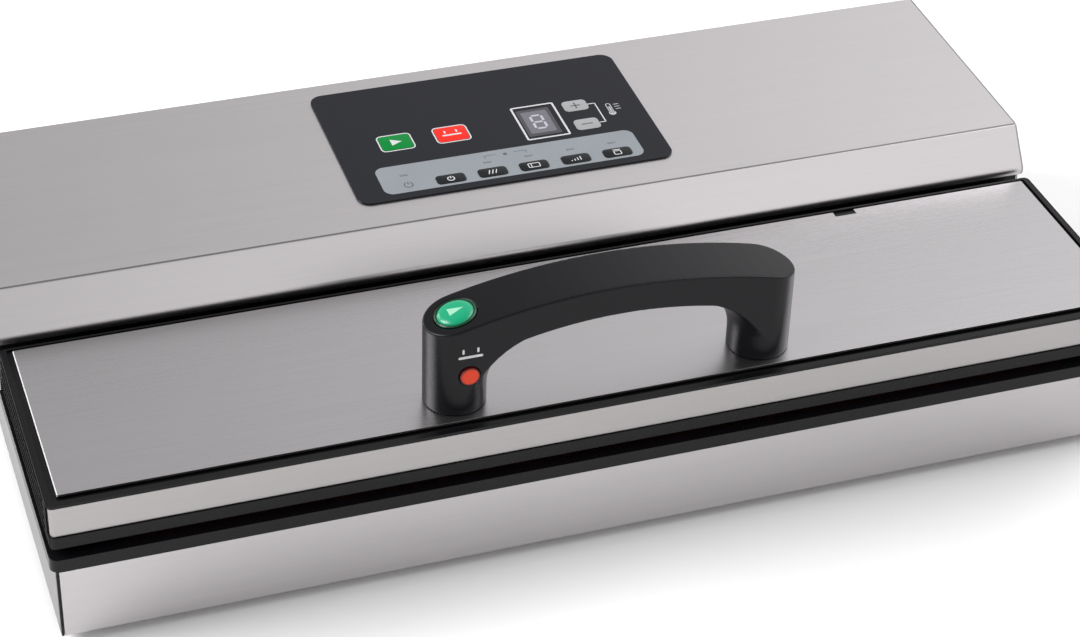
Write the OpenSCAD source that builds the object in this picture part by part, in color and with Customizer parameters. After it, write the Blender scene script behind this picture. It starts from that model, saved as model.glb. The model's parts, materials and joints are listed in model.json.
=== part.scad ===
// Countertop vacuum sealer: hinged lid with a grip handle over a sealing deck,
// and a rear housing that holds the pump, the transformer and the controls.
// X runs along the sealing bar, the front is at -Y, and Z = 0 is the table.

/* [Lid] */
// Width of the steel panel on the lid
panel_w = 460; // [440:1:480]
// Depth of the steel panel on the lid
panel_d = 97.4; // [92:0.2:104]
// Sheet thickness of the steel panel
panel_t = 1; // [0.8:0.1:1.2]
// Frame showing in front of the panel
lip_front = 5.3; // [4.5:0.1:6.5]
// Frame showing at each end of the panel
lip_side = 5; // [4.5:0.1:6]
// Frame showing behind the panel
lip_back = 3.6; // [3:0.1:4.6]
// Thickness of the frame's top
lip_t = 1.5; // [1.3:0.1:2]
// Height of the steel band along the lid's front
band_h = 14.4; // [12:0.2:17]
// Height of the frame below the band
flange_h = 5.4; // [4.8:0.2:7]

/* [Base] */
// Height of the rubber feet below the shell
foot_h = 5; // [4:0.5:8]
// Height of the steel shell of the base
base_h = 34.2; // [32:0.2:40]
// Height of the black rim on the base
rim_h = 6.2; // [5.6:0.2:8]
// Rim standing out in front of the lid
rim_front = 2.7; // [2:0.1:4]
// Rim standing out beyond each end of the lid
rim_side = 1; // [0.8:0.1:2]
// Gap between the closed lid and the rim
lid_gap = 3.5; // [3.1:0.1:4.2]
// Distance from the panel's end to the sealing bar's end
seal_margin = 25; // [24:1:60]
// Width of the sealing bar
seal_w = 7.6; // [6:0.2:8.4]
// Width of the foam gaskets
gasket_w = 7; // [5:0.5:8]
// Depth of the vacuum trough below the gasket's seat
trough_depth = 11.4; // [10.6:0.2:13]

/* [Housing] */
// Gap between the lid's back edge and the fascia
fascia_gap = 4.3; // [3.6:0.1:6]
// How far the fascia leans back
fascia_run = 11.7; // [8:0.1:14]
// Lean of the fascia from upright
fascia_lean = 35; // [25:1:40]
// Depth of the housing's top
top_d = 115; // [112:0.5:130]
// Height of the top's front bend above the lid panel
top_rise = 18.1; // [15:0.1:22]
// Slope of the housing's top
top_slope = 1.84; // [1:0.02:3]
// Sheet thickness of the steel covers
sheet_t = 1; // [0.8:0.1:1.2]

/* [Controls] */
// Width of the control overlay
overlay_w = 145.8; // [136:0.2:160]
// Depth of the control overlay
overlay_d = 89; // [84:0.5:94]
// Distance of the overlay's centre behind the front bend
overlay_back = 61; // [58:0.5:62]
// Pitch of the five small keys
key_pitch = 19.45; // [18.6:0.05:20.4]

/* [Handle] */
// Length of the handle
handle_len = 158; // [148:1:176]
// Depth of the handle
handle_d = 26; // [24.5:0.5:28]
// Height of the handle above the lid panel
handle_rise = 49.7; // [46:0.1:58]
// Rise of the handle's arch over its ends
handle_arch = 12; // [9:0.1:13]
// Thickness of the handle's bar at the middle
handle_bar = 13.2; // [12:0.1:15]
// Height of the straight part of each leg
leg_straight = 8.5; // [7:0.5:11]
// Distance of the handle behind the panel's front edge
handle_setback = 3; // [2:0.1:8]
// Sideways place of the handle's centre
handle_x = 0.2; // [-6:0.1:6]
// Radius of the round button on the handle's top
start_r = 8.7; // [7.5:0.1:9]
// Travel of the round button on the handle's top
start_travel = 1.5; // [1:0.1:1.8]
// Radius of the button on the handle's front
seal_r = 4.1; // [3.4:0.1:4.6]
// Travel of the button on the handle's front
seal_travel = 1; // [0.6:0.1:1.2]

/* [Hidden] */

$fn = 64;
steel = [0.74, 0.73, 0.72];
black = [0.07, 0.07, 0.08];
dark = [0.16, 0.16, 0.18];
fit_gap = 0.2;
run_gap = 0.05;

// Levels, from the table upwards
shell_top = foot_h + base_h;
rim_top = shell_top + rim_h;
lid_bottom = rim_top + lid_gap;
band_z = lid_bottom + flange_h;
lip_z = band_z + band_h;
frame_top = lip_z + lip_t;
panel_top = frame_top + panel_t;

// Places across the width
lid_half = panel_w / 2 + lip_side;
seal_len = panel_w - 2 * seal_margin;
rim_half = lid_half + rim_side;
base_half = rim_half - 2;
cover_half = base_half + sheet_t;
front_half = base_half - 1.3;
deck_half = base_half - 0.5;

// Places from front to back
lid_d = lip_front + panel_d + lip_back;
fascia_y0 = rim_front + lid_d + fascia_gap;
body_d = fascia_y0 + fascia_run + top_d;
front_y = -body_d / 2;
back_y = body_d / 2;
shell_y = front_y + 2;
lid_front = front_y + rim_front;
panel_front = lid_front + lip_front;
panel_back = panel_front + panel_d;
lid_back = lid_front + lid_d;
fascia_y = front_y + fascia_y0;
bend_y = fascia_y + fascia_run;

// Rear housing
roll_r = 4;
bend_r = 1.6;
bend_z = panel_top + top_rise;
roll_y = fascia_y + roll_r;
roll_start = roll_y - roll_r * cos(fascia_lean);
roll_z = bend_z - (bend_y - roll_start) / tan(fascia_lean) - roll_r * sin(fascia_lean);
roll_bottom = roll_z - roll_r;
return_d = 5.7;
seam_gap = 0.2;
cover_z = shell_top + seam_gap;
wall_y = roll_y + 0.2;
wall_t = 2;
rear_y = back_y - 3;
rear_t = 1.2;
function top_z(y) = bend_z + (y - bend_y) * tan(top_slope);

// Deck, from the front edge backwards
deck_t = 3;
skirt_t = 3;
slot_y = front_y + 14;
slot_depth = 8;
seat_depth = 4;
seat_front = front_y + 21;
seat_back = seat_front + 52;
seat_half = lid_half - 13;
seat_z = rim_top - seat_depth;
trough_front = seat_front + gasket_w + 2;
trough_back = seat_back - gasket_w - 2;
trough_half = seat_half - gasket_w - 2;
trough_z = seat_z - trough_depth;
deck_floor = rim_top - deck_t;
pan_z = foot_h + sheet_t;
pan_top = pan_z + 1.2;
flange_w = 12;
foam_gap = 0.3;
gasket_top = rim_top + 1.6;

// Hinge
hinge_y = lid_back - 7;
hinge_z = frame_top - 11.2;
hinge_x = lid_half - 21;
pin_r = 2.5;
ear_gap = 13;
ear_t = 3;
ear_r = 5;
slot_half = ear_gap / 2 + ear_t + 5;

// Lid
frame_wall = 4;
frame_back = 2.5;
frame_r = 2.4;
band_in = 0.7;
band_wrap = 4.6;
lap = 8;
groove_w = 2.4;
groove_d = 0.9;
under_z = lid_bottom + 3.1;
under_t = 2.5;
under_top = under_z + under_t;
under_back = lid_back - 17;
under_half = lid_half - frame_wall - 0.3;
boss_r = 3.2;
screw_r = 1.5;
boss_x = under_half - 4;

// Handle
handle_y0 = panel_front + handle_setback;
handle_y = handle_y0 + handle_d / 2;
arch_top = panel_top + handle_rise;
arch_r = (pow(handle_len / 2, 2) + pow(handle_arch, 2)) / (2 * handle_arch);
inner_top = arch_top - handle_bar;
span_turn = 9.9;
span_rise = tan(span_turn / 2);
leg_r = handle_d / 2;
leg_x = handle_len / 2 - leg_r;
flare_low = panel_top + leg_straight;
flare_r = (inner_top - flare_low - (leg_x - leg_r) * span_rise)
    / (cos(span_turn) - (1 - sin(span_turn)) * span_rise);
flare_h = flare_r * cos(span_turn);
inner_r = (leg_x - leg_r - flare_r * (1 - sin(span_turn))) / sin(span_turn);
start_x = -leg_x;
start_tilt = asin(start_x / arch_r);
start_z = arch_top - arch_r + sqrt(pow(arch_r, 2) - pow(start_x, 2));
start_h = 5;
start_proud = 0.4;
start_pocket = start_h - start_proud + start_travel + 0.9;
cavity_r = 8;
cavity_top = start_z - start_pocket + 1;
seal_x = -leg_x + 2.3;
seal_z = panel_top + 19.2;
seal_h = 5.4;
seal_proud = 0.7;
seal_back = handle_y0 - seal_proud + seal_h;
switch_gap = 0.4;

// Housing contents
post_r = 2.6;
post_h = 6;
board_t = 1.6;
board_w = overlay_w - 3.8;
board_d = overlay_d - 3;
window_w = overlay_w - 14;
window_d = overlay_d - 14;
overlay_t = 0.8;
overlay_x = 1.2;
overlay_y = bend_y + overlay_back;
key_x = 10.8;
key_y = -35;
glass_w = 16;
glass_d = 22;
glass_x = 23.6;
glass_y = -2.5;
motor_x = 62;
motor_y = bend_y + 62;
motor_r = 18;
motor_len = 62;
head_w = 30;
head_d = 38;
head_h = 52;
motor_z = trough_z + 4.5;
valve_y = bend_y + 14;
core_x = -base_half + 64;
core_y = bend_y + 40;
core_w = 66;
core_d = 34;
core_h = 56;
supply_x = -66;
supply_y = bend_y + 58;
supply_w = 96;
supply_d = 84;
fan_x = base_half - 68;
fan_size = 60;
fan_t = 15;
fan_z = pan_top + 1 + fan_size / 2;
fan_r = fan_size / 2 - 3;
hub_r = fan_size / 5;
inlet_x = 56 - base_half;
inlet_z = 40;
inlet_w = 27.4;
inlet_h = 20;
rocker_x = inlet_x + 46;
fuse_x = inlet_x + 82;
rocker_swing = 9;
nozzle_x = 62;
nozzle_z = motor_z;
hose_r = 4.6;
hose_bore = 3;

// A box between two corners.
module block(low, high) {
    translate(low) cube(high - low);
}

// The same piece at both ends of the width.
module both_ends() {
    children();
    mirror([1, 0, 0]) children();
}

module rod_x(r, x0, x1, y, z) {
    translate([x0, y, z]) rotate([0, 90, 0]) cylinder(r = r, h = x1 - x0);
}

module rod_y(r, x, y0, y1, z) {
    translate([x, y0, z]) rotate([-90, 0, 0]) cylinder(r = r, h = y1 - y0);
}

module rod_z(r, x, y, z0, z1) {
    translate([x, y, z0]) cylinder(r = r, h = z1 - z0);
}

// A rectangle with round corners, between two corners.
module round_rect(low, high, r) {
    for (x = [low[0] + r, high[0] - r], y = [low[1] + r, high[1] - r])
        translate([x, y]) circle(r);
    translate([low[0] + r, low[1]]) square([high[0] - low[0] - 2 * r, high[1] - low[1]]);
    translate([low[0], low[1] + r]) square([high[0] - low[0], high[1] - low[1] - 2 * r]);
}

module slab(low, high, r, z0, z1) {
    translate([0, 0, z0]) linear_extrude(z1 - z0) round_rect(low, high, r);
}

// An outline in Y and Z, drawn out along X between -half and half.
module drawn_x(half, points) {
    translate([-half, 0, 0]) rotate([90, 0, 90]) linear_extrude(2 * half) polygon(points);
}

function arc(centre, r, from, to, steps) = [
    for (i = [0:steps])
        let (a = from + (to - from) * i / steps)
        [centre[0] + r * cos(a), centre[1] + r * sin(a)]
];

// Centre of the arc that rounds a corner whose faces point along angles a and b.
function round_centre(corner, r, a, b) =
    corner - r * [cos(a) + cos(b), sin(a) + sin(b)] / (1 + cos(a - b));

// Screw with a pan head: the head's seat is at the origin and the shank goes up.
module screw(shank, len, head, head_h) {
    translate([0, 0, -head_h]) cylinder(r = head, h = head_h);
    cylinder(r = shank, h = len);
}

// Puts a piece on the sloping top of the housing, x across and y from the overlay's centre.
module on_top(x, y, drop) {
    translate([0, overlay_y, top_z(overlay_y)])
        rotate([top_slope, 0, 0])
            translate([x, y, -drop])
                children();
}

foot_x = base_half - 29;
foot_y = [front_y + 25, back_y - 28];
foot_r = 10;
module at_feet() {
    for (x = [-foot_x, foot_x], y = foot_y)
        translate([x, y, 0]) children();
}

deck_boss_x = [-base_half + 52, 0, base_half - 52];
deck_boss_y = hinge_y - 12;
module at_deck_bosses() {
    for (x = deck_boss_x)
        translate([x, deck_boss_y, 0]) children();
}

module base_pan() {
    color(steel) difference() {
        block([-base_half + 1.6, shell_y + 1.7, pan_z], [base_half - 1.6, rear_y - 0.2, pan_top]);
        at_feet() cylinder(r = screw_r, h = pan_top + 1);
        at_deck_bosses() cylinder(r = screw_r + run_gap * 2, h = pan_top + 1);
        for (i = [-7:7])
            block([i * 9 + 2, bend_y + 8, 0], [i * 9 + 5, bend_y + 28, pan_top + 1]);
    }
}

module base_front_panel() {
    color(steel) {
        block([-front_half, shell_y, foot_h], [front_half, shell_y + sheet_t, shell_top]);
        block([-front_half, shell_y + sheet_t, foot_h],
              [front_half, shell_y + flange_w, foot_h + sheet_t]);
    }
}

// Side sheet with a flange under the pan, on the left.
module base_side() {
    color(steel) {
        block([-base_half, shell_y + 1.7, foot_h], [-base_half + sheet_t, back_y, shell_top]);
        block([-base_half + sheet_t, shell_y + flange_w + 0.4, foot_h],
              [-base_half + flange_w, back_y - flange_w - 3.4, foot_h + sheet_t]);
    }
}

module base_side_left() {
    base_side();
}

module base_side_right() {
    mirror([1, 0, 0]) base_side();
}

module corner_trims() {
    color(black) both_ends()
        block([-base_half + 0.1, shell_y + 0.1, foot_h], [-front_half - 0.1, shell_y + 1.6, shell_top]);
}

module feet() {
    color(black) at_feet() difference() {
        union() {
            cylinder(r1 = foot_r - 1.5, r2 = foot_r, h = 2, $fn = 64);
            translate([0, 0, 2]) cylinder(r = foot_r, h = pan_z - 2);
        }
        cylinder(r = screw_r + run_gap, h = pan_z + 1);
        translate([0, 0, -1]) cylinder(r = 4, h = 3);
    }
}

module foot_screws() {
    color(steel) at_feet() translate([0, 0, 2]) screw(screw_r, pan_top, 3.2, 1.4);
}

module pan_screws() {
    color(steel) at_deck_bosses() translate([0, 0, pan_z]) screw(screw_r, 12, 3, 1.6);
}

// Deck: a rimmed plate with a seat for the gasket, a trough inside it and a slot for the bar.
module deck_plate() {
    low = [-rim_half, front_y];
    high = [rim_half, wall_y + wall_t];
    difference() {
        slab(low, high, 4, cover_z, rim_top);
        slab(low + [skirt_t, skirt_t], high - [skirt_t, -9], 2, cover_z - 1, deck_floor);
        both_ends() block([deck_half, roll_y - 2, 0], [rim_half + 1, high[1] + 1, rim_top + 1]);
    }
}

module deck_wells(grow, z_trim) {
    block([-seat_half - grow, seat_front - grow, seat_z - grow],
          [seat_half + grow, seat_back + grow, rim_top + z_trim]);
    block([-trough_half - grow, trough_front - grow, trough_z - grow],
          [trough_half + grow, trough_back + grow, rim_top + z_trim]);
    block([-seal_len / 2 - 4 - grow, slot_y - seal_w / 2 - 0.2 - grow, rim_top - slot_depth - grow],
          [seal_len / 2 + 4 + grow, slot_y + seal_w / 2 + 0.2 + grow, rim_top + z_trim]);
}

module base_deck() {
    color(black) difference() {
        union() {
            deck_plate();
            deck_wells(wall_t, -1);
            block([-deck_half, wall_y, rim_top - 1], [deck_half, wall_y + wall_t, roll_bottom - 0.25]);
            at_deck_bosses() rod_z(4, 0, 0, pan_top, deck_floor + 1);
        }
        deck_wells(0, 1);
        at_deck_bosses() rod_z(screw_r, 0, 0, pan_top - 1, pan_top + 14);
        rod_y(hose_bore + run_gap, nozzle_x, trough_back - 1, trough_back + wall_t + 1, nozzle_z);
    }
}

module drip_tray() {
    color(steel) difference() {
        slab([-trough_half + 2, trough_front + 2], [trough_half - 2, trough_back - 2], 4,
             trough_z, trough_z + 2);
        slab([-trough_half + 2.8, trough_front + 2.8], [trough_half - 2.8, trough_back - 2.8], 3.2,
             trough_z + 0.8, trough_z + 3);
    }
}

module gasket_ring(z0, z1) {
    difference() {
        slab([-seat_half + foam_gap, seat_front + foam_gap], [seat_half - foam_gap, seat_back - foam_gap],
             5, z0, z1);
        slab([-seat_half + gasket_w, seat_front + gasket_w], [seat_half - gasket_w, seat_back - gasket_w],
             3, z0 - 1, z1 + 1);
    }
}

module lower_gasket() {
    color(dark) gasket_ring(seat_z, gasket_top);
}

module seal_bar() {
    color("white") block([-seal_len / 2, slot_y - seal_w / 2, rim_top - slot_depth],
                         [seal_len / 2, slot_y + seal_w / 2, rim_top + 0.2]);
}

module heating_element() {
    color("silver") block([-seal_len / 2, slot_y - 2.5, rim_top + 0.2],
                          [seal_len / 2, slot_y + 2.5, rim_top + 0.4]);
}

module release_tape() {
    color("tan") block([-seal_len / 2 + 3, slot_y - seal_w / 2, rim_top + 0.4],
                       [seal_len / 2 - 3, slot_y + seal_w / 2, rim_top + 0.6]);
}

module element_clamps() {
    color("goldenrod") both_ends()
        block([seal_len / 2, slot_y - 2.5, rim_top - slot_depth],
              [seal_len / 2 + 3.6, slot_y + 2.5, rim_top + 0.4]);
}

// Hinge bracket: a foot on the deck and two ears that hold the pin.
module hinge_bracket(x) {
    ear_x = ear_gap / 2;
    color(steel) difference() {
        union() {
            block([x - ear_x - ear_t, hinge_y - 8, rim_top],
                  [x + ear_x + ear_t, hinge_y + 6, rim_top + 2]);
            for (side = [-1, 1]) {
                mid = x + side * (ear_x + ear_t / 2);
                rod_x(ear_r, mid - ear_t / 2, mid + ear_t / 2, hinge_y, hinge_z);
                block([mid - ear_t / 2, hinge_y - ear_r, rim_top],
                      [mid + ear_t / 2, hinge_y + ear_r, hinge_z]);
            }
        }
        rod_x(pin_r + 0.02, x - 20, x + 20, hinge_y, hinge_z);
    }
}

module hinge_bracket_left() {
    hinge_bracket(-hinge_x);
}

module hinge_bracket_right() {
    hinge_bracket(hinge_x);
}

module hinge_pins() {
    reach = ear_gap / 2 + ear_t;
    color(steel) both_ends() {
        rod_x(pin_r, hinge_x - reach - 1, hinge_x + reach, hinge_y, hinge_z);
        rod_x(pin_r + 1.2, hinge_x + reach, hinge_x + reach + 1.2, hinge_y, hinge_z);
    }
}

// Outline of the bent steel cover in Y and Z, moved inwards by the sheet for the inside.
function cover_face(inset, back) = concat(
    [[back, top_z(back) - inset / cos(top_slope)]],
    arc(round_centre([bend_y, bend_z], bend_r, 90 + top_slope, 180 - fascia_lean), bend_r - inset,
        90 + top_slope, 180 - fascia_lean, 5),
    arc([roll_y, roll_z], roll_r - inset, 180 - fascia_lean, 270, 10)
);

module rear_cover() {
    color(steel) difference() {
        drawn_x(cover_half, concat(cover_face(0, back_y), [[roll_y, cover_z], [back_y, cover_z]]));
        drawn_x(cover_half - sheet_t, concat(cover_face(sheet_t, back_y + 2),
            [[roll_y + return_d, roll_bottom + sheet_t], [roll_y + return_d, 0], [back_y + 2, 0]]));
        block([-cover_half + sheet_t, roll_y - 1, 0],
              [cover_half - sheet_t, roll_y + return_d + 1, roll_bottom]);
        on_top(0, 0, 4) slab([-window_w / 2, -window_d / 2], [window_w / 2, window_d / 2], 3, 0, 8);
    }
    color(steel) difference() {
        both_ends() block([cover_half - 12, rear_y - 1.1, 46], [cover_half - sheet_t, rear_y - 0.1, 84]);
        at_rear_screws() rod_y(screw_r, 0, rear_y - 9, back_y, 0);
    }
}

// Panel at the back, with a foot under the pan, fan slots and cut-outs.
screw_z = [52, 78];
screw_x = cover_half - 7;
module rear_panel() {
    half = base_half - sheet_t - 0.2;
    color(steel) difference() {
        union() {
            block([-half, rear_y, foot_h], [half, rear_y + rear_t, top_z(rear_y) - sheet_t - 0.3]);
            block([-base_half + flange_w + 1, back_y - flange_w - 3, foot_h],
                  [base_half - flange_w - 1, rear_y, foot_h + sheet_t]);
        }
        for (i = [-4:4])
            let (reach = sqrt(pow(fan_r, 2) - pow(i * 5.6, 2)))
            block([fan_x - reach, rear_y - 1, fan_z + i * 5.6 - 1.3],
                  [fan_x + reach, back_y, fan_z + i * 5.6 + 1.3]);
        block([inlet_x - inlet_w / 2, rear_y - 1, inlet_z - inlet_h / 2],
              [inlet_x + inlet_w / 2, back_y, inlet_z + inlet_h / 2]);
        block([rocker_x - 6.6, rear_y - 1, inlet_z - 9.6], [rocker_x + 6.6, back_y, inlet_z + 9.6]);
        rod_y(6, fuse_x, rear_y - 1, back_y, inlet_z);
        at_rear_screws() rod_y(screw_r, 0, rear_y - 1, back_y, 0);
        at_fan_screws() rod_y(2, 0, rear_y - 1, back_y, 0);
    }
}

module at_rear_screws() {
    for (x = [-screw_x, screw_x], z = screw_z)
        translate([x, 0, z]) children();
    for (side = [-1, 1])
        translate([inlet_x + side * 20, 0, inlet_z]) children();
}

fan_hole = fan_size / 2 - 5;
module at_fan_screws() {
    for (x = [-fan_hole, fan_hole], z = [-fan_hole, fan_hole])
        translate([fan_x + x, 0, fan_z + z]) children();
}

// Machine screw lying along Y: its head is on the face at y and the shank goes forwards.
module panel_screw(shank, len, head, head_h, y) {
    rod_y(shank, 0, y - len, y + head_h / 2, 0);
    rod_y(head, 0, y, y + head_h, 0);
}

module rear_screws() {
    color(steel) for (x = [-screw_x, screw_x], z = screw_z)
        translate([x, 0, z]) panel_screw(screw_r - run_gap, 5, 2.8, 1.6, rear_y + rear_t);
    color(steel) for (side = [-1, 1])
        translate([inlet_x + side * 20, 0, inlet_z])
            panel_screw(screw_r - run_gap, 8, 2.4, 0.5, rear_y + rear_t + 1.2);
}

module fan_screws() {
    color(steel) at_fan_screws()
        panel_screw(2 - run_gap, 10, 3.2, 1.6, rear_y + rear_t);
}

module control_overlay() {
    color(dark) difference() {
        on_top(overlay_x, 0, -0.02)
            slab([-overlay_w / 2, -overlay_d / 2], [overlay_w / 2, overlay_d / 2], 6, 0, overlay_t);
        on_top(glass_x, glass_y, 1)
            slab([-glass_w / 2, -glass_d / 2], [glass_w / 2, glass_d / 2], 1, 0, 3);
    }
}

module display_window() {
    color([0.55, 0.56, 0.58]) on_top(glass_x, glass_y, 0)
        slab([-glass_w / 2 + 0.1, -glass_d / 2 + 0.1], [glass_w / 2 - 0.1, glass_d / 2 - 0.1], 0.9,
             0, overlay_t);
}

module display_module() {
    color([0.75, 0.76, 0.78]) on_top(glass_x, glass_y, post_h + sheet_t)
        slab([-glass_w / 2 + 1, -glass_d / 2 + 1], [glass_w / 2 - 1, glass_d / 2 - 1], 0.5,
             0, post_h + sheet_t - 0.1);
}

module control_board() {
    color("darkgreen") on_top(0, 0, post_h + sheet_t + board_t) difference() {
        slab([-board_w / 2, -board_d / 2], [board_w / 2, board_d / 2], 2, 0, board_t);
        at_board_corners(board_w, board_d) cylinder(r = screw_r, h = 9, center = true);
    }
}

module at_board_corners(w, d) {
    for (x = [-w / 2 + 3.2, w / 2 - 3.2], y = [-d / 2 + 3.2, d / 2 - 3.2])
        translate([x, y, 0]) children();
}

module standoff() {
    difference() {
        cylinder(r = post_r, h = post_h);
        translate([0, 0, -1]) cylinder(r = screw_r, h = post_h + 2);
    }
}

module board_posts() {
    color("gold") on_top(0, 0, post_h + sheet_t) at_board_corners(board_w, board_d) standoff();
    color("gold") translate([supply_x, supply_y, pan_top])
        at_board_corners(supply_w, supply_d) standoff();
}

// Keys under the overlay: five small ones in a row, two for the work and two for the level.
small_keys = [for (i = [0:4]) [key_x + (i - 2) * key_pitch, key_y]];
work_keys = [[-44.5, -1.5], [-18.7, -1.5]];
level_keys = [[43, 5.9], [43, -9.5]];
module key_switches() {
    color(black) for (place = concat(small_keys, work_keys, level_keys))
        on_top(place[0], place[1], post_h + sheet_t) {
            translate([-3, -3, 0]) cube([6, 6, 3.6]);
            cylinder(r = 1.7, h = post_h + sheet_t - 0.2);
        }
}

lamp_y = key_y + 8.3;
module indicator_leds() {
    color("ivory") for (x = concat([-48], [for (i = [1:4]) small_keys[i][0]]))
        on_top(x, lamp_y, post_h + sheet_t) {
            cylinder(r = 1.5, h = post_h);
            cylinder(r = 1.9, h = 1);
        }
}

// Power supply: a board with a heat sink, a capacitor, a relay and a choke.
module power_board() {
    z = pan_top + post_h;
    color("darkgreen") translate([supply_x, supply_y, z]) {
        difference() {
            slab([-supply_w / 2, -supply_d / 2], [supply_w / 2, supply_d / 2], 2, 0, board_t);
            at_board_corners(supply_w, supply_d) cylinder(r = screw_r, h = 9, center = true);
        }
        translate([-supply_w / 2 + 12, -20, board_t]) cube([4, 44, 28]);
        for (i = [0:4])
            translate([-supply_w / 2 + 16, -20 + i * 10, board_t]) cube([10, 3, 28]);
        translate([14, 18, board_t]) cylinder(r = 11, h = 30);
        translate([2, -26, board_t]) cube([28, 12, 16]);
        translate([-12, -30, board_t]) cylinder(r = 7, h = 14);
    }
}

// Transformer: laminated core with its winding and two mounting feet.
core_hole = [core_w / 2 + 6, core_d / 2 - 6];
module transformer() {
    color(dark) translate([core_x, core_y, pan_top]) difference() {
        union() {
            block([-core_w / 2, -core_d / 2, 0], [core_w / 2, core_d / 2, core_h]);
            block([-core_w / 2 + 12, -core_d / 2 - 11, 10], [core_w / 2 - 12, core_d / 2 + 11, core_h - 10]);
            block([-core_w / 2 - 12, -core_d / 2, 0], [core_w / 2 + 12, core_d / 2, 1.6]);
        }
        for (x = [-core_hole[0], core_hole[0]], y = [-core_hole[1], core_hole[1]])
            translate([x, y, -1]) cylinder(r = 2.1, h = 4);
    }
}

module transformer_screws() {
    color(steel) for (x = [-core_hole[0], core_hole[0]], y = [-core_hole[1], core_hole[1]])
        translate([core_x + x, core_y + y, pan_top + 1.6]) {
            cylinder(r = 3.6, h = 2.4);
            translate([0, 0, -1.6]) cylinder(r = 2, h = 2);
        }
}

// Twin pump: one motor along X with a piston head at each end.
module pump_motor() {
    color("gray") {
        rod_x(motor_r, motor_x - motor_len / 2, motor_x + motor_len / 2, motor_y, motor_z);
        rod_x(6, motor_x - motor_len / 2 - 2, motor_x + motor_len / 2 + 2, motor_y, motor_z);
    }
}

head_x = motor_len / 2 + 2.2;
module pump_heads() {
    color(dark) for (side = [0, 1]) translate([motor_x, motor_y, motor_z]) mirror([side, 0, 0]) {
        block([head_x, -head_d / 2, -19], [head_x + head_w, head_d / 2, 12]);
        rod_z(head_w / 2 - 1, head_x + head_w / 2, 0, 12, head_h - 19);
        block([head_x + 1, -head_w / 2 + 1, head_h - 19],
              [head_x + head_w - 1, head_w / 2 - 1, head_h - 13]);
        rod_y(hose_bore - run_gap, head_x + head_w / 2, -head_d / 2 - 10, -head_d / 2, 0);
    }
}

mount_x = motor_len / 2 + 12;
mount_h = 5;
module at_pump_mounts() {
    for (x = [-mount_x, mount_x], y = [-14, 14])
        translate([motor_x + x, motor_y + y, pan_top]) children();
}

module pump_mounts() {
    color(black) at_pump_mounts() {
        cylinder(r = 5, h = mount_h);
        cylinder(r = 2, h = mount_h + 3);
    }
}

// Cradle between the rubber mounts and the motor.
module pump_bracket() {
    low = pan_top + mount_h;
    color(steel) difference() {
        union() {
            block([motor_x - mount_x - 7, motor_y - 20, low],
                  [motor_x + mount_x + 7, motor_y + 20, low + 1.6]);
            block([motor_x - 22, motor_y - 15, low], [motor_x + 22, motor_y + 15, motor_z - 8]);
        }
        rod_x(motor_r + run_gap, motor_x - 40, motor_x + 40, motor_y, motor_z);
        at_pump_mounts() cylinder(r = 2.1, h = 20);
    }
}

module vacuum_nozzle() {
    color(black) difference() {
        union() {
            rod_y(hose_bore, nozzle_x, trough_back + run_gap - 1.2, trough_back + 16, nozzle_z);
            rod_y(4.4, nozzle_x, trough_back - 1.2, trough_back, nozzle_z);
        }
        rod_y(1.8, nozzle_x, trough_back - 3, trough_back + 18, nozzle_z);
    }
}

// Manifold: joins the trough's hose to the two pump heads and carries the release valve.
module vacuum_manifold() {
    reach = head_x + head_w / 2;
    color(dark) {
        block([nozzle_x - 9, valve_y, pan_top], [nozzle_x + 9, valve_y + 14, motor_z + 9]);
        rod_y(hose_bore - run_gap, nozzle_x, valve_y - 9, valve_y, motor_z);
        block([motor_x - reach - 6, valve_y + 2, motor_z - 5],
              [motor_x + reach + 6, valve_y + 12, motor_z + 5]);
        for (x = [motor_x - reach, motor_x + reach])
            rod_y(hose_bore - run_gap, x, valve_y + 12, valve_y + 18, motor_z);
    }
}

module release_valve() {
    color("royalblue") translate([nozzle_x, valve_y + 7, motor_z + 9]) {
        cylinder(r = 6.5, h = 18);
        block([-8, -6, 2], [8, 6, 15]);
        rod_z(3, 0, 0, 18, 22);
    }
}

// Silicone hoses: one from the trough, and one to each pump head.
module hose(x, y0, y1, z0, z1) {
    mid = (y0 + y1) / 2;
    drop = z1 - z0;
    run = y1 - y0;
    tilt = atan2(drop, run);
    translate([x, y0, z0]) rotate([tilt - 90, 0, 0]) difference() {
        cylinder(r = hose_r, h = norm([drop, run]));
        translate([0, 0, -1]) cylinder(r = hose_bore + run_gap, h = norm([drop, run]) + 2);
    }
}

module vacuum_hoses() {
    reach = head_x + head_w / 2;
    color([0.85, 0.84, 0.8]) {
        hose(nozzle_x, trough_back + 7, valve_y - 1, nozzle_z, motor_z);
        for (x = [motor_x - reach, motor_x + reach])
            hose(x, valve_y + 12.4, motor_y - head_d / 2 - 0.4, motor_z, motor_z);
    }
}

// Cooling fan against the rear panel.
module fan_frame() {
    color(black) difference() {
        translate([fan_x, rear_y - 0.1, fan_z]) rotate([90, 0, 0])
            slab([-fan_size / 2, -fan_size / 2], [fan_size / 2, fan_size / 2], 4, 0, fan_t);
        rod_y(fan_r + 0.6, fan_x, rear_y - fan_t - 1, rear_y - 2, fan_z);
        difference() {
            rod_y(fan_r + 0.6, fan_x, rear_y - 4, rear_y + 1, fan_z);
            rod_y(hub_r, fan_x, rear_y - 5, rear_y + 2, fan_z);
            for (a = [30, 150, 270]) translate([fan_x, rear_y, fan_z]) rotate([0, a, 0])
                block([0, -5, -2], [fan_r + 3, 2, 2]);
        }
        rod_y(1.55, fan_x, rear_y - fan_t - 1, rear_y + 1, fan_z);
        at_fan_screws() rod_y(2, 0, rear_y - fan_t - 1, rear_y + 1, 0);
    }
}

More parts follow.
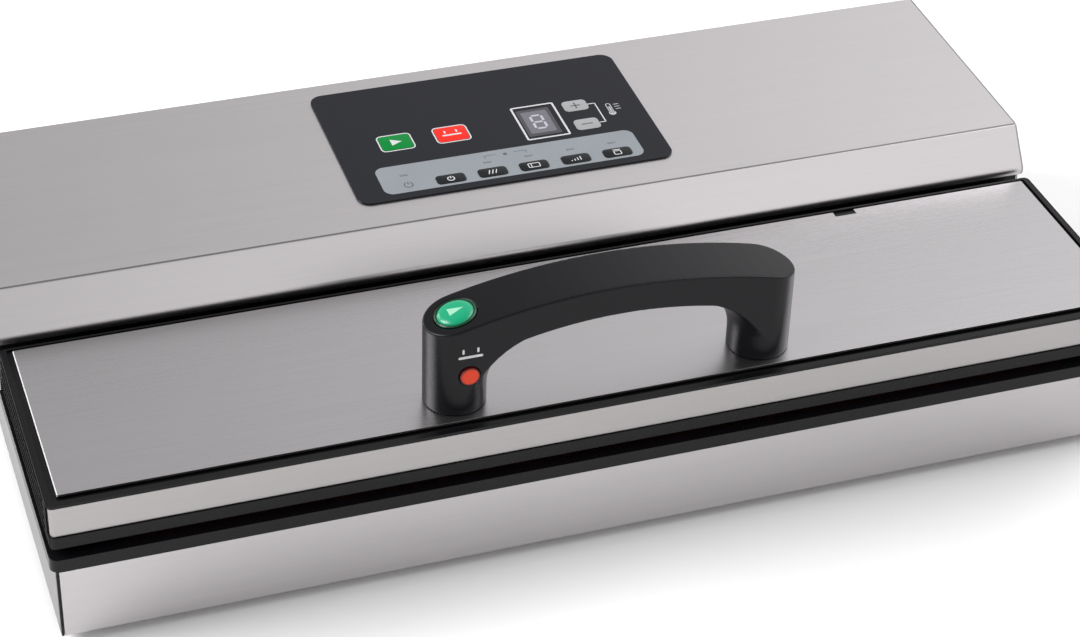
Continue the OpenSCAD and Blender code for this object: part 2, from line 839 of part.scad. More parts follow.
module fan_rotor() {
    color(dark) translate([fan_x, rear_y - fan_t + 0.6, fan_z]) {
        rod_y(hub_r, 0, 0, fan_t - 4, 0);
        rod_y(1.5, 0, 0, fan_t - 1.5, 0);
        for (i = [0:6]) rotate([0, i * 360 / 7, 0]) translate([hub_r - 1, 8.2, 0]) rotate([38, 0, 0])
            cube([fan_r - hub_r - 1.4, 1.2, 12]);
    }
}

// Mains inlet with the socket's three pins.
module power_inlet() {
    y = rear_y + rear_t;
    color(black) translate([inlet_x, 0, inlet_z]) {
        difference() {
            union() {
                block([-inlet_w / 2 + 0.1, y - 18, -inlet_h / 2 + 0.1],
                      [inlet_w / 2 - 0.1, y, inlet_h / 2 - 0.1]);
                block([-24.5, y, -11.2], [24.5, y + 1.2, 11.2]);
            }
            block([-12, y - 15, -8.2], [12, y + 2, 8.2]);
            for (side = [-1, 1]) rod_y(screw_r, side * 20, y - 1, y + 2, 0);
        }
        for (pin = [[-7, 0], [0, 4], [7, 0]])
            block([pin[0] - 1, y - 16, pin[1] - 2 - 1.5], [pin[0] + 1, y - 3, pin[1] - 2 + 1.5]);
    }
}

module fuse_holder() {
    y = rear_y + rear_t;
    color(black) {
        rod_y(6 - run_gap, fuse_x, y - 26, y + 0.1, inlet_z);
        difference() {
            rod_y(8, fuse_x, y, y + 1.6, inlet_z);
            block([fuse_x - 5, y + 1, inlet_z - 0.6], [fuse_x + 5, y + 3, inlet_z + 0.6]);
        }
    }
}

rocker_y = rear_y + rear_t;
module rocker_frame() {
    color(black) translate([rocker_x, 0, inlet_z]) difference() {
        union() {
            block([-6.5, rocker_y - 17, -9.5], [6.5, rocker_y, 9.5]);
            block([-8, rocker_y, -11], [8, rocker_y + 1, 11]);
        }
        block([-5.3, rocker_y - 8, -8.3], [5.3, rocker_y + 2, 8.3]);
        rod_x(1.05, -6.4, 6.4, rocker_y - 3.4, 0);
    }
}

// Rocker: a paddle on two stub axles.
module power_rocker() {
    color("darkred") translate([rocker_x, rocker_y - 3.4, inlet_z]) rotate([-rocker_swing, 0, 0])
        difference() {
            union() {
                block([-4.9, -1.6, -7.4], [4.9, 3.6, 7.4]);
                rod_x(1, -6.2, 6.2, 0, 0);
            }
            rod_x(23, -6, 6, 25.8, 0);
        }
}

notch_x = 141.5;
module lid_panel() {
    color(steel) difference() {
        slab([-panel_w / 2, panel_front], [panel_w / 2, panel_back], 0.6, frame_top, panel_top);
        block([notch_x - 5, panel_back - 3.4, 0], [notch_x + 5, panel_back + 1, panel_top + 1]);
        at_handle_screws() cylinder(r = screw_r + run_gap, h = panel_top + 1);
        rod_z(3, handle_x - leg_x, handle_y, 0, panel_top + 1);
    }
}

// A ring that follows the frame's outline, inset from it, at the front and round the corners.
module front_strip(inset, thick, wrap, z0, z1) {
    deep = lid_front + wrap;
    difference() {
        slab([-lid_half + inset, lid_front + inset], [lid_half - inset, lid_back],
             frame_r - inset, z0, z1);
        slab([-lid_half + inset + thick, lid_front + inset + thick],
             [lid_half - inset - thick, lid_back + 9], frame_r - inset - thick, z0 - 1, z1 + 1);
        block([-lid_half - 1, deep, z0 - 1], [lid_half + 1, lid_back + 9, z1 + 1]);
    }
}

boss_front = (lid_front + frame_wall + panel_front + lap) / 2;
module at_lid_bosses() {
    both_ends() {
        for (y = [boss_front, under_back - 8]) translate([boss_x, y, 0]) children();
    }
}

module lid_frame() {
    color(black) difference() {
        union() {
            slab([-lid_half, lid_front], [lid_half, lid_back], frame_r, lid_bottom, frame_top);
            both_ends() for (i = [0:3])
                block([lid_half - 1, lid_front + 11, lid_bottom + 2.6 + i * 4.6],
                      [lid_half + 0.4, lid_back - 3, lid_bottom + 4 + i * 4.6]);
        }
        slab([-lid_half + frame_wall, lid_front + frame_wall],
             [lid_half - frame_wall, lid_back - frame_back], 1, lid_bottom - 1, lip_z);
        slab([-panel_w / 2 + lap, panel_front + lap], [panel_w / 2 - lap, panel_back - lap],
             2, lip_z - 1, frame_top + 1);
        difference() {
            slab([-panel_w / 2 - groove_w, panel_front - groove_w],
                 [panel_w / 2 + groove_w, panel_back + groove_w], 1, frame_top - groove_d, frame_top + 1);
            slab([-panel_w / 2 + 1, panel_front + 1], [panel_w / 2 - 1, panel_back - 1],
                 1, 0, frame_top + 2);
        }
        front_strip(0, band_in + sheet_t + 0.1, band_wrap + 0.2, band_z, lip_z);
        front_strip(-1, 2, band_wrap + 0.2, band_z, lip_z);
        both_ends() block([hinge_x - slot_half, lid_back - frame_back - 1, 0],
                          [hinge_x + slot_half, lid_back + 1, hinge_z + ear_r + 1]);
    }
    color(black) at_lid_bosses() difference() {
        rod_z(boss_r, 0, 0, under_top + 0.1, lip_z + 0.5);
        rod_z(screw_r, 0, 0, 0, lip_z - 2);
    }
}

module lid_band() {
    color(steel) front_strip(band_in, sheet_t, band_wrap, band_z + 0.1, lip_z - 0.1);
}

module lid_underside() {
    color(black) difference() {
        slab([-under_half, lid_front + frame_wall + 0.3], [under_half, under_back],
             1, under_z, under_top);
        at_lid_bosses() rod_z(screw_r + 2 * run_gap, 0, 0, 0, under_top + 1);
    }
}

module underside_screws() {
    color(steel) at_lid_bosses() translate([0, 0, under_z]) screw(screw_r - run_gap, 9, 2.8, 1.5);
}

module upper_gasket() {
    color(dark) gasket_ring(gasket_top + foam_gap, under_z);
}

module seal_pad() {
    color("firebrick") block([-seal_len / 2, slot_y - seal_w / 2, rim_top + 0.9],
                             [seal_len / 2, slot_y + seal_w / 2, under_z]);
}

module hinge_arms() {
    half = ear_gap / 2 - fit_gap;
    color(steel) both_ends() difference() {
        union() {
            rod_x(5.5, hinge_x - half, hinge_x + half, hinge_y, hinge_z);
            block([hinge_x - half, under_back - 14, under_top], [hinge_x + half, hinge_y, hinge_z + 3]);
        }
        rod_x(pin_r + run_gap, hinge_x - 20, hinge_x + 20, hinge_y, hinge_z);
    }
}

// Side outline of the handle in X and Z, above the panel, under its arched top.
arch_turn = asin(handle_len / 2 / arch_r);
module handle_outline() {
    polygon(concat([[-handle_len / 2, 0], [handle_len / 2, 0]],
        arc([0, handle_rise - arch_r], arch_r, 90 - arch_turn, 90 + arch_turn, 24)));
}

module at_legs() {
    for (side = [-leg_x, leg_x]) translate([handle_x + side, handle_y, 0]) children();
}

// The flare that carries a round leg into the bar.
module leg_flare() {
    translate([0, 0, flare_low]) rotate_extrude()
        polygon(concat([[0, flare_h], [0, 0]],
            arc([leg_r + flare_r, 0], flare_r, 180, 90 + span_turn, 10)));
}

module handle_bar_body() {
    back = handle_y0 + handle_d;
    intersection() {
        block([handle_x - leg_x, handle_y0, flare_low], [handle_x + leg_x, back, arch_top]);
        union() {
            at_legs() leg_flare();
            difference() {
                block([handle_x - leg_x - 1, handle_y0 - 1, flare_low],
                      [handle_x + leg_x + 1, back + 1, arch_top + 1]);
                rod_y(inner_r, handle_x, handle_y0 - 2, back + 2, inner_top - inner_r);
            }
        }
    }
}

module on_start() {
    translate([handle_x + start_x, handle_y, start_z]) rotate([0, start_tilt, 0]) children();
}

module handle() {
    color(black) difference() {
        intersection() {
            translate([handle_x, handle_y0 + handle_d, panel_top]) rotate([90, 0, 0])
                linear_extrude(handle_d) handle_outline();
            union() {
                at_legs() rod_z(leg_r, 0, 0, panel_top, arch_top);
                handle_bar_body();
            }
        }
        on_start() translate([0, 0, -start_pocket]) cylinder(r = start_r + 0.25, h = 20);
        rod_z(cavity_r, handle_x - leg_x, handle_y, panel_top - 1, cavity_top);
        rod_y(seal_r + 0.2, handle_x + seal_x, handle_y0 - 5, handle_y, seal_z);
        at_handle_screws() rod_z(screw_r, 0, 0, panel_top - 1, panel_top + 12);
    }
}

module at_handle_screws() {
    for (leg = [-leg_x, leg_x], side = [-1, 1])
        translate([handle_x + leg + side * (cavity_r + 2.8), handle_y, 0]) children();
}

module handle_screws() {
    color(steel) at_handle_screws() translate([0, 0, frame_top])
        screw(screw_r - run_gap, 10, 2.8, 1.5);
}

// Board in the left leg, with a switch behind each button.
module handle_board() {
    half = sqrt(pow(cavity_r, 2) - 9) - 0.1;
    seal_tip = seal_back + seal_travel + switch_gap - handle_y;
    start_tip = start_z - start_h - start_travel - 3.8;
    seal_at = seal_x + leg_x;
    start_at = start_x + leg_x;
    color("darkgreen") translate([handle_x - leg_x, handle_y, 0]) {
        block([-half, -3, panel_top + 2], [half, -1.4, start_tip - 2.6]);
        block([seal_at - 3, seal_tip + 1.4, seal_z - 3], [seal_at + 3, -3, seal_z + 3]);
        rod_y(1.7, seal_at, seal_tip, seal_tip + 1.4, seal_z);
        block([start_at - 3, -3, start_tip - 5.6], [start_at + 3, 3, start_tip - 2]);
        rod_z(1.7, start_at, 0, start_tip - 2, start_tip);
    }
}

module start_button() {
    color("seagreen") on_start() {
        translate([0, 0, start_proud - start_h]) cylinder(r = start_r, h = start_h);
        translate([0, 0, start_proud]) cylinder(r1 = start_r, r2 = start_r - 2.2, h = 0.9);
        translate([0, 0, start_proud - start_h - 3.8]) cylinder(r = 2, h = 4);
    }
}

module seal_button() {
    color("orangered")
        rod_y(seal_r, handle_x + seal_x, handle_y0 - seal_proud, seal_back, seal_z);
}

base_pan();
base_front_panel();
base_side_left();
base_side_right();
corner_trims();
feet();
foot_screws();
pan_screws();
base_deck();
drip_tray();
lower_gasket();
seal_bar();
heating_element();
release_tape();
element_clamps();
hinge_bracket_left();
hinge_bracket_right();
hinge_pins();
rear_cover();
rear_panel();
rear_screws();
control_overlay();
display_window();
display_module();
control_board();
board_posts();
key_switches();
indicator_leds();
power_board();
transformer();
transformer_screws();
pump_motor();
pump_heads();
pump_bracket();
pump_mounts();
vacuum_nozzle();
vacuum_hoses();
vacuum_manifold();
release_valve();
fan_frame();
fan_screws();
fan_rotor();
power_inlet();
fuse_holder();
rocker_frame();
power_rocker();
lid_panel();
lid_frame();
lid_band();
lid_underside();
underside_screws();
upper_gasket();
seal_pad();
hinge_arms();
handle();
handle_screws();
handle_board();
start_button();
seal_button();
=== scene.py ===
import json
from math import cos, pi, radians, sin

import bmesh
import bpy
from mathutils import Matrix, Vector

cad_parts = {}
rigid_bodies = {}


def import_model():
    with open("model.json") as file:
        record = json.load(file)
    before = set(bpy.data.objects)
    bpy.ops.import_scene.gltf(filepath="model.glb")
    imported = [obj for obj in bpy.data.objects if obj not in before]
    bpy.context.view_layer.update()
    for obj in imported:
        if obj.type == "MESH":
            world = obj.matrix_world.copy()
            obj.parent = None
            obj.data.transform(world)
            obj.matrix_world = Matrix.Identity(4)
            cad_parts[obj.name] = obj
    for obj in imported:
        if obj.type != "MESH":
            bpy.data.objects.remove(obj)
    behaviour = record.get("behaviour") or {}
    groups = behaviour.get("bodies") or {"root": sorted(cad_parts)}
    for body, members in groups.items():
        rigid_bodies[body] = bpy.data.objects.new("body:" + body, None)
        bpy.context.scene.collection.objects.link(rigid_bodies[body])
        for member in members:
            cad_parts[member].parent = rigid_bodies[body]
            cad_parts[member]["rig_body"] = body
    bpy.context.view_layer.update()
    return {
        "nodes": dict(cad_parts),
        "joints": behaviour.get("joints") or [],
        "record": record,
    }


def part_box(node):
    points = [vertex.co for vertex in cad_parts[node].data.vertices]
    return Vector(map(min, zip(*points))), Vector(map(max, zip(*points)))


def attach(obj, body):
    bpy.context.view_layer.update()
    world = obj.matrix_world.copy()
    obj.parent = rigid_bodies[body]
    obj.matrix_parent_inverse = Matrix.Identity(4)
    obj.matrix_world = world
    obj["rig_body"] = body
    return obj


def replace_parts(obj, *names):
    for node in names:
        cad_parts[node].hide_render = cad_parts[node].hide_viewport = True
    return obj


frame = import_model()
MM = 0.001
TOP_SLOPE = radians(1.84)
# Where the finish changes on the lid's frame and the cover, where the cover's ends and bend get
# painted shade, and where the lid's panel gets a painted highlight
lid_low, lid_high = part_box("lid_frame")
LID_END = lid_high.x - 0.9 * MM
COVER_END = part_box("rear_cover")[1].x - 0.8 * MM
COVER_BEND = (4.9 * MM, 5.7 * MM)
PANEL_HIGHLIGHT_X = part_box("lid_panel")[0].x + 0.35 * MM


def tint(red, green, blue):
    """A colour from its three screen values, 0 to 255, as the shaders need it."""
    def straight(value):
        share = value / 255
        return share / 12.92 if share <= 0.04045 else ((share + 0.055) / 1.055) ** 2.4

    return straight(red), straight(green), straight(blue), 1.0


def shade(colour, factor):
    """The colour made lighter or darker by a factor."""
    return tuple(min(1.0, channel * factor) for channel in colour[:3]) + (1.0,)


# ---------------------------------------------------------------- finishes


class Wire:
    """A node's output in a sum: each operator adds one Math node."""

    def __init__(self, finish, socket):
        self.finish = finish
        self.socket = socket

    def maths(self, operation, *values):
        """One Math node over these values and wires."""
        return self.finish.node("ShaderNodeMath", {"operation": operation}, dict(enumerate(values)))

    def __add__(self, other):
        return self.maths("ADD", self, other)

    __radd__ = __add__

    def __mul__(self, other):
        return self.maths("MULTIPLY", self, other)

    __rmul__ = __mul__

    def __sub__(self, other):
        return self.maths("SUBTRACT", self, other)

    def __rsub__(self, other):
        return self.maths("SUBTRACT", other, self)

    def __abs__(self):
        return self.maths("ABSOLUTE", self)

    def __lt__(self, other):
        return self.maths("LESS_THAN", self, other)

    def __gt__(self, other):
        return self.maths("GREATER_THAN", self, other)


class Finish:
    """One material: constants sit on the shader's own sockets, and node() adds everything else."""

    def __init__(self, name, **constants):
        self.material = bpy.data.materials.new(name)
        self.material.use_nodes = True
        self.tree = self.material.node_tree
        self.shader = self.tree.nodes["Principled BSDF"]
        for socket, value in constants.items():
            self.shader.inputs[socket.replace("_", " ")].default_value = value

    def node(self, kind, settings=None, values=None, out=0):
        """Adds a node, its settings first, then the value or wire of each socket."""
        made = self.tree.nodes.new(kind)
        for setting, value in (settings or {}).items():
            setattr(made, setting, value)
        for place, value in (values or {}).items():
            self.feed(made.inputs[place], value)
        return Wire(self, made.outputs[out])

    def feed(self, socket, value):
        """Links a wire to the socket, or sets its value."""
        if isinstance(value, Wire):
            self.tree.links.new(value.socket, socket)
        else:
            socket.default_value = value

    def surface(self, **wires):
        """Feeds the shader's own sockets."""
        for socket, value in wires.items():
            self.feed(self.shader.inputs[socket.replace("_", " ")], value)
        return self

    def where(self, stretch=(1, 1, 1)):
        """Object coordinates, stretched by these factors."""
        place = self.node("ShaderNodeTexCoord", out="Object")
        return self.node("ShaderNodeMapping", values={"Vector": place, "Scale": stretch})

    def axis(self, name):
        """One object coordinate in metres."""
        place = self.node("ShaderNodeTexCoord", out="Object")
        return self.node("ShaderNodeSeparateXYZ", values={0: place}, out=name)

    def cloud(self, size, stretch=(1, 1, 1), detail=2.0):
        """Soft noise from 0 to 1 with features about this many metres across."""
        return self.node("ShaderNodeTexNoise",
                         values={"Vector": self.where(stretch), "Scale": 1 / size, "Detail": detail})

    def cells(self, size):
        """Distance to the nearest of scattered points about this many metres apart."""
        return self.node("ShaderNodeTexVoronoi",
                         values={"Vector": self.where(), "Scale": 1 / size})

    def wave(self, axis, pitch):
        """A wave from 0 to 1 along one axis."""
        turn = self.axis(axis) * (2 * pi / pitch)
        return self.node("ShaderNodeMath", {"operation": "SINE"}, {0: turn}) * 0.5 + 0.5

    def mix(self, mask, first, second):
        """The first colour where the mask is 0 and the second where it is 1."""
        return self.node("ShaderNodeMix", {"data_type": "RGBA"},
                         {0: mask, 6: first, 7: second}, out=2)

    def ridges(self, height, depth):
        """A bump this many metres deep."""
        return self.node("ShaderNodeBump", values={"Height": height, "Distance": depth})


def scratches(steel, stretch):
    """The long fine scratches of a belt grinder."""
    return steel.cloud(0.00035, stretch, 4.0) * 0.65 + steel.cloud(0.0021, stretch, 2.0) * 0.35


def brushed_sheet(name, colour, along="x", rough=0.3, painted_highlight_x=None):
    """Stainless sheet brushed along one axis; left of the given x it has a painted highlight, a
    white strip that is not metal, standing in for a lamp's glint on the edge.
    """
    steel = Finish(name, Metallic=1.0)
    stretch = (0.012, 1, 1) if along == "x" else (1, 0.012, 1)
    sheen = steel.cloud(0.05, (0.3, 1, 1) if along == "x" else (1, 0.3, 1), 1.0)
    scratch = scratches(steel, stretch)
    tone = steel.mix(scratch, shade(colour, 0.92), shade(colour, 1.08))
    if painted_highlight_x:
        # Painted highlight: white, non-metal colour left of that x stands in for a lamp's glint on
        # the edge
        edge = steel.axis("X") < painted_highlight_x
        tone = steel.mix(edge, tone, tint(226, 226, 228))
        steel.surface(Metallic=1 - edge)
    return steel.surface(
        Base_Color=tone,
        Roughness=rough - 0.06 + 0.14 * scratch + 0.06 * sheen,
        Normal=steel.ridges(scratch, 0.000005))


def folded_sheet(name, colour, fold, bend):
    """Sheet brushed along x whose ends fold down beyond that x.

    The ends are rougher and get painted shade at half the flat sheet's tone; their scratches run
    upright.
    The bend, between two values of y, gets painted shade: it is darker than the flat sheet.
    """
    steel = Finish(name, Metallic=1.0)
    flat = scratches(steel, (0.012, 1, 1))
    end = abs(steel.axis("X")) > fold
    scratch = flat + end * (scratches(steel, (1, 1, 0.012)) - flat)
    # Painted shade: the folded ends are the same steel at half its tone
    tones_with_painted_shade = [steel.mix(scratch, shade(colour, 0.92 * factor), shade(colour, 1.08 * factor))
             for factor in (1, 0.5)]
    # Painted shade: a dark line along the bend, between the two values of y
    crease = (steel.axis("Y") > bend[0]) * (steel.axis("Y") < bend[1]) * (1 - end)
    return steel.surface(
        Base_Color=steel.mix(crease, steel.mix(end, *tones_with_painted_shade), shade(colour, 0.3)),
        Roughness=(0.24 + 0.14 * scratch + 0.06 * steel.cloud(0.05, (0.3, 1, 1), 1.0)
                   + 0.06 * end + 0.2 * crease),
        Normal=steel.ridges(scratch, 0.000005))


def moulded(name, colour, rough=0.42, grain=0.0005, depth=0.00002, **constants):
    """Moulded plastic: fine spark-eroded skin, slow changes of gloss and tone."""
    plastic = Finish(name, **constants)
    skin = plastic.cloud(grain, detail=3.0)
    patch = plastic.cloud(0.04)
    return plastic.surface(
        Base_Color=plastic.mix(patch, shade(colour, 0.88), shade(colour, 1.14)),
        Roughness=rough - 0.08 + 0.1 * skin + 0.07 * patch,
        Normal=plastic.ridges(skin, depth))


def smooth_ended(name, colour, fold):
    """Moulded plastic whose ends, beyond that x, are dull and have no grain."""
    plastic = Finish(name, Specular_IOR_Level=0.2)
    end = abs(plastic.axis("X")) > fold
    skin = plastic.cloud(0.0006, detail=3.0) * (1 - end)
    patch = plastic.cloud(0.04)
    return plastic.surface(
        Base_Color=plastic.mix(patch, shade(colour, 0.88), shade(colour, 1.14)),
        Roughness=0.2 + 0.1 * skin + 0.07 * patch + 0.7 * end,
        Normal=plastic.ridges(skin, 0.00001))


def plated(name, colour, rough=0.28):
    """Zinc-plated steel: faint crystals and a soft change of tone."""
    metal = Finish(name, Metallic=1.0)
    crystal = metal.cells(0.004)
    haze = metal.cloud(0.02, detail=3.0)
    return metal.surface(
        Base_Color=metal.mix(haze, shade(colour, 0.86), shade(colour, 1.08)),
        Roughness=rough + 0.1 * haze + 0.06 * crystal,
        Normal=metal.ridges(metal.cloud(0.0008, detail=3.0), 0.000008))


def rubbery(name, colour, rough=0.72):
    """Rubber or silicone with a faint bloom."""
    rubber = Finish(name, Specular_IOR_Level=0.35)
    bloom = rubber.cloud(0.012, detail=4.0)
    return rubber.surface(
        Base_Color=rubber.mix(bloom, shade(colour, 0.8), shade(colour, 1.35)),
        Roughness=rough + 0.14 * bloom,
        Normal=rubber.ridges(rubber.cloud(0.0009, detail=3.0), 0.00004))


def closed_foam(name, colour):
    """Foam rubber with small closed pores."""
    foam = Finish(name, Specular_IOR_Level=0.2)
    pores = foam.cells(0.0011)
    return foam.surface(
        Base_Color=foam.mix(pores, shade(colour, 0.6), shade(colour, 1.5)),
        Roughness=0.86 + 0.1 * pores,
        Normal=foam.ridges(pores, 0.00015))


def glass_cloth(name, colour):
    """Non-stick tape: a fine plain weave under a smooth coat."""
    tape = Finish(name, Specular_IOR_Level=0.45)
    weave = tape.wave("X", 0.0009) * tape.wave("Y", 0.0009)
    return tape.surface(
        Base_Color=tape.mix(weave, shade(colour, 0.82), shade(colour, 1.1)),
        Roughness=0.34 + 0.16 * weave,
        Normal=tape.ridges(weave, 0.00004))


def tracked_board(name, colour):
    """Circuit board: solder mask over fine copper tracks."""
    board = Finish(name, Coat_Weight=0.25, Coat_Roughness=0.2)
    tracks = board.node("ShaderNodeTexBrick", {"offset": 0.35},
                        {"Vector": board.where(), "Scale": 55.0, "Mortar Size": 0.012,
                         "Color1": (0, 0, 0, 1), "Color2": (0.2, 0.2, 0.2, 1),
                         "Mortar": (1, 1, 1, 1)})
    dust = board.cloud(0.006, detail=4.0)
    return board.surface(
        Base_Color=board.mix(tracks, shade(colour, 0.85), shade(colour, 1.7)),
        Roughness=0.34 + 0.16 * dust,
        Normal=board.ridges(tracks, 0.00003))


def cast_metal(name, colour):
    """Sand-cast alloy."""
    alloy = Finish(name, Metallic=1.0)
    sand = alloy.cloud(0.0012, detail=5.0)
    return alloy.surface(
        Base_Color=alloy.mix(sand, shade(colour, 0.75), shade(colour, 1.12)),
        Roughness=0.5 + 0.18 * sand,
        Normal=alloy.ridges(sand, 0.00007))


def laminated(name, colour):
    """Transformer core: stacked sheets under dark varnish."""
    core = Finish(name, Metallic=0.35, Coat_Weight=0.3)
    sheets = core.cloud(0.0006, (0.02, 0.02, 1), 1.0)
    varnish = core.cloud(0.01, detail=3.0)
    return core.surface(
        Base_Color=core.mix(varnish, shade(colour, 0.7), shade(colour, 1.4)),
        Roughness=0.4 + 0.2 * varnish,
        Normal=core.ridges(sheets, 0.00012))


def clear_cap(name, colour, rough=0.18):
    """Tinted clear plastic over a light or a display."""
    lens = Finish(name, Coat_Weight=0.5, Coat_Roughness=0.08)
    haze = lens.cloud(0.002, detail=2.0)
    return lens.surface(
        Base_Color=lens.mix(haze, shade(colour, 0.9), shade(colour, 1.12)),
        Roughness=rough + 0.08 * haze,
        Normal=lens.ridges(lens.cloud(0.0007), 0.000008))


def printed(name, colour, rough=0.42, gloss=0.34):
    """Ink or embossed film on the control panel."""
    ink = Finish(name, Specular_IOR_Level=gloss)
    velvet = ink.cloud(0.00022, detail=2.0)
    shift = ink.cloud(0.018)
    return ink.surface(
        Base_Color=ink.mix(shift, shade(colour, 0.94), shade(colour, 1.06)),
        Roughness=rough - 0.04 + 0.12 * velvet,
        Normal=ink.ridges(velvet, 0.000012))


finishes = {
    "brushed_steel": brushed_sheet("housing_steel", tint(208, 205, 206)),
    "black_plastic": moulded("black_moulding", tint(13, 12, 15), 0.28, 0.0006, 0.000012,
                             Specular_IOR_Level=0.22),
    "handle_plastic": moulded("handle_moulding", tint(14, 14, 18), 0.3, 0.0007, 0.00001,
                              Specular_IOR_Level=0.19),
    "overlay_film": printed("panel_film", tint(26, 27, 32), 0.4, 0.16),
    "smoked_window": clear_cap("display_glass", tint(40, 40, 48)),
    "rubber": rubbery("foot_rubber", tint(26, 26, 27)),
    "foam": closed_foam("gasket_foam", tint(34, 34, 35)),
    "silicone": rubbery("seal_silicone", tint(150, 44, 34), 0.55),
    "white_resin": moulded("bar_resin", tint(222, 219, 208), 0.5),
    "ptfe": glass_cloth("non_stick_tape", tint(150, 118, 84)),
    "plated_steel": plated("zinc_plate", tint(186, 188, 190)),
    "heating_alloy": brushed_sheet("heating_strip", tint(170, 166, 160), "x", 0.36),
    "brass": plated("brass", tint(206, 172, 96), 0.3),
    "circuit_board": tracked_board("circuit_board", tint(22, 78, 44)),
    "motor_steel": plated("motor_can", tint(166, 168, 172), 0.34),
    "cast_alloy": cast_metal("cast_head", tint(158, 160, 163)),
    "core_iron": laminated("core_sheets", tint(52, 46, 44)),
    "hose_silicone": clear_cap("hose_silicone", tint(206, 206, 198), 0.34),
    "valve_blue": moulded("valve_plastic", tint(38, 84, 148), 0.4),
    "led_lens": clear_cap("indicator_lens", tint(196, 64, 52), 0.16),
    "display_grey": moulded("display_body", tint(112, 114, 118), 0.4),
    "start_green": moulded("start_green", tint(8, 151, 108), 0.24, 0.0008, 0.00001),
    "seal_red": moulded("seal_red", tint(214, 56, 14), 0.3, 0.0008, 0.00001,
                        Specular_IOR_Level=0.3),
    "rocker_red": moulded("rocker_red", tint(176, 26, 24), 0.3),
}
# The lid panel's left edge gets a painted highlight
lid_sheet = brushed_sheet("lid_steel", tint(194, 192, 194), rough=0.25, painted_highlight_x=PANEL_HIGHLIGHT_X)
front_sheet = brushed_sheet("front_steel", tint(166, 163, 163))
# Painted light: the base's front is the same steel, made lighter to offset the shaded floor it
# mirrors
lit_base_sheet = brushed_sheet("base_steel_painted_light", tint(186, 183, 184))
frame_skin = smooth_ended("frame_moulding", tint(12, 12, 14), LID_END)
# Painted shade: the base's sides are the same steel as the rest, given a darker tone
shaded_end_sheet = brushed_sheet("end_steel_painted_shade", tint(150, 148, 149), along="y")
strip_ink = printed("strip_ink", tint(130, 136, 141), 0.4)
white_ink = printed("white_ink", tint(196, 197, 199), 0.45)
faint_ink = printed("faint_ink", tint(168, 170, 174), 0.45)
grey_ink = printed("step_key_film", tint(150, 151, 153), 0.4)
key_ink = printed("small_key_film", tint(20, 22, 24), 0.34, 0.2)
dark_ink = printed("dark_ink", tint(84, 90, 92), 0.45)
green_ink = printed("start_key_film", tint(2, 120, 50), 0.36, 0.12)
red_ink = printed("seal_key_film", tint(224, 44, 34), 0.36, 0.12)
lamp_ink = clear_cap("lamp_window", tint(104, 106, 108), 0.24)
face_ink = clear_cap("display_face", tint(92, 91, 100), 0.3)
# Partly painted shade: the start rim's dark green is its own tint, darkened for the shaded gap round
# the cap
rim_green_and_gap_shade = moulded("start_rim_green", tint(2, 56, 30), 0.3)
rim_red = moulded("seal_rim_red", tint(96, 14, 6), 0.36)
cap_ink = printed("start_cap_ink", tint(150, 206, 176), 0.4)
digit_ink = clear_cap("digit_bars", tint(172, 172, 184), 0.3)
# The cover's folded ends and its bend get painted shade
cover_sheet = folded_sheet("cover_steel", tint(208, 205, 206), COVER_END, COVER_BEND)
back_sheet = plated("back_sheet", tint(164, 166, 169), 0.4)


def dress_nodes():
    """Gives every CAD node the finish of its material slot."""
    for part in frame["record"]["subparts"]:
        materials = frame["nodes"][part["node"]].data.materials
        materials.clear()
        materials.append(finishes[part["material_slot"]].material)


# ---------------------------------------------------------------- shapes

slots = {part["node"]: part["material_slot"] for part in frame["record"]["subparts"]}


def piece(shape, name, body, finish, crease=35, even=False):
    """Makes the shape an object on that body, smooth but for edges sharper than the crease."""
    for face in shape.faces:
        face.smooth = True
    for edge in shape.edges:
        edge.smooth = edge.is_manifold and edge.calc_face_angle(0) < radians(crease)
    mesh = bpy.data.meshes.new(name)
    shape.to_mesh(mesh)
    shape.free()
    mesh.materials.append(finish.material)
    made = bpy.data.objects.new(name, mesh)
    bpy.context.scene.collection.objects.link(made)
    if even:
        made.modifiers.new("flat_faces_rule", "WEIGHTED_NORMAL").keep_sharp = True
    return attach(made, body)


def softened(node, edge=0.3, steps=2, sharp=28, finish=None, name=None,
             chosen=lambda middle: True):
    """Stands a copy of a CAD node with rounded edges in the node's place; edge is in mm."""
    shape = bmesh.new()
    shape.from_mesh(frame["nodes"][node].data)
    bmesh.ops.remove_doubles(shape, verts=shape.verts, dist=2e-6)
    bmesh.ops.dissolve_limit(shape, angle_limit=radians(0.6), verts=shape.verts,
                             edges=shape.edges)
    corners = [e for e in shape.edges
               if e.is_manifold and abs(e.calc_face_angle(0)) > radians(sharp)
               and chosen((e.verts[0].co + e.verts[1].co) / 2)]
    bmesh.ops.bevel(shape, geom=corners, offset=edge * MM, offset_type="OFFSET", segments=steps,
                    profile=0.5, affect="EDGES", clamp_overlap=True, material=-1)
    made = piece(shape, name or f"{node}_finished", frame["nodes"][node]["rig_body"],
                 finish or finishes[slots[node]], crease=40, even=True)
    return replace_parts(made, node)


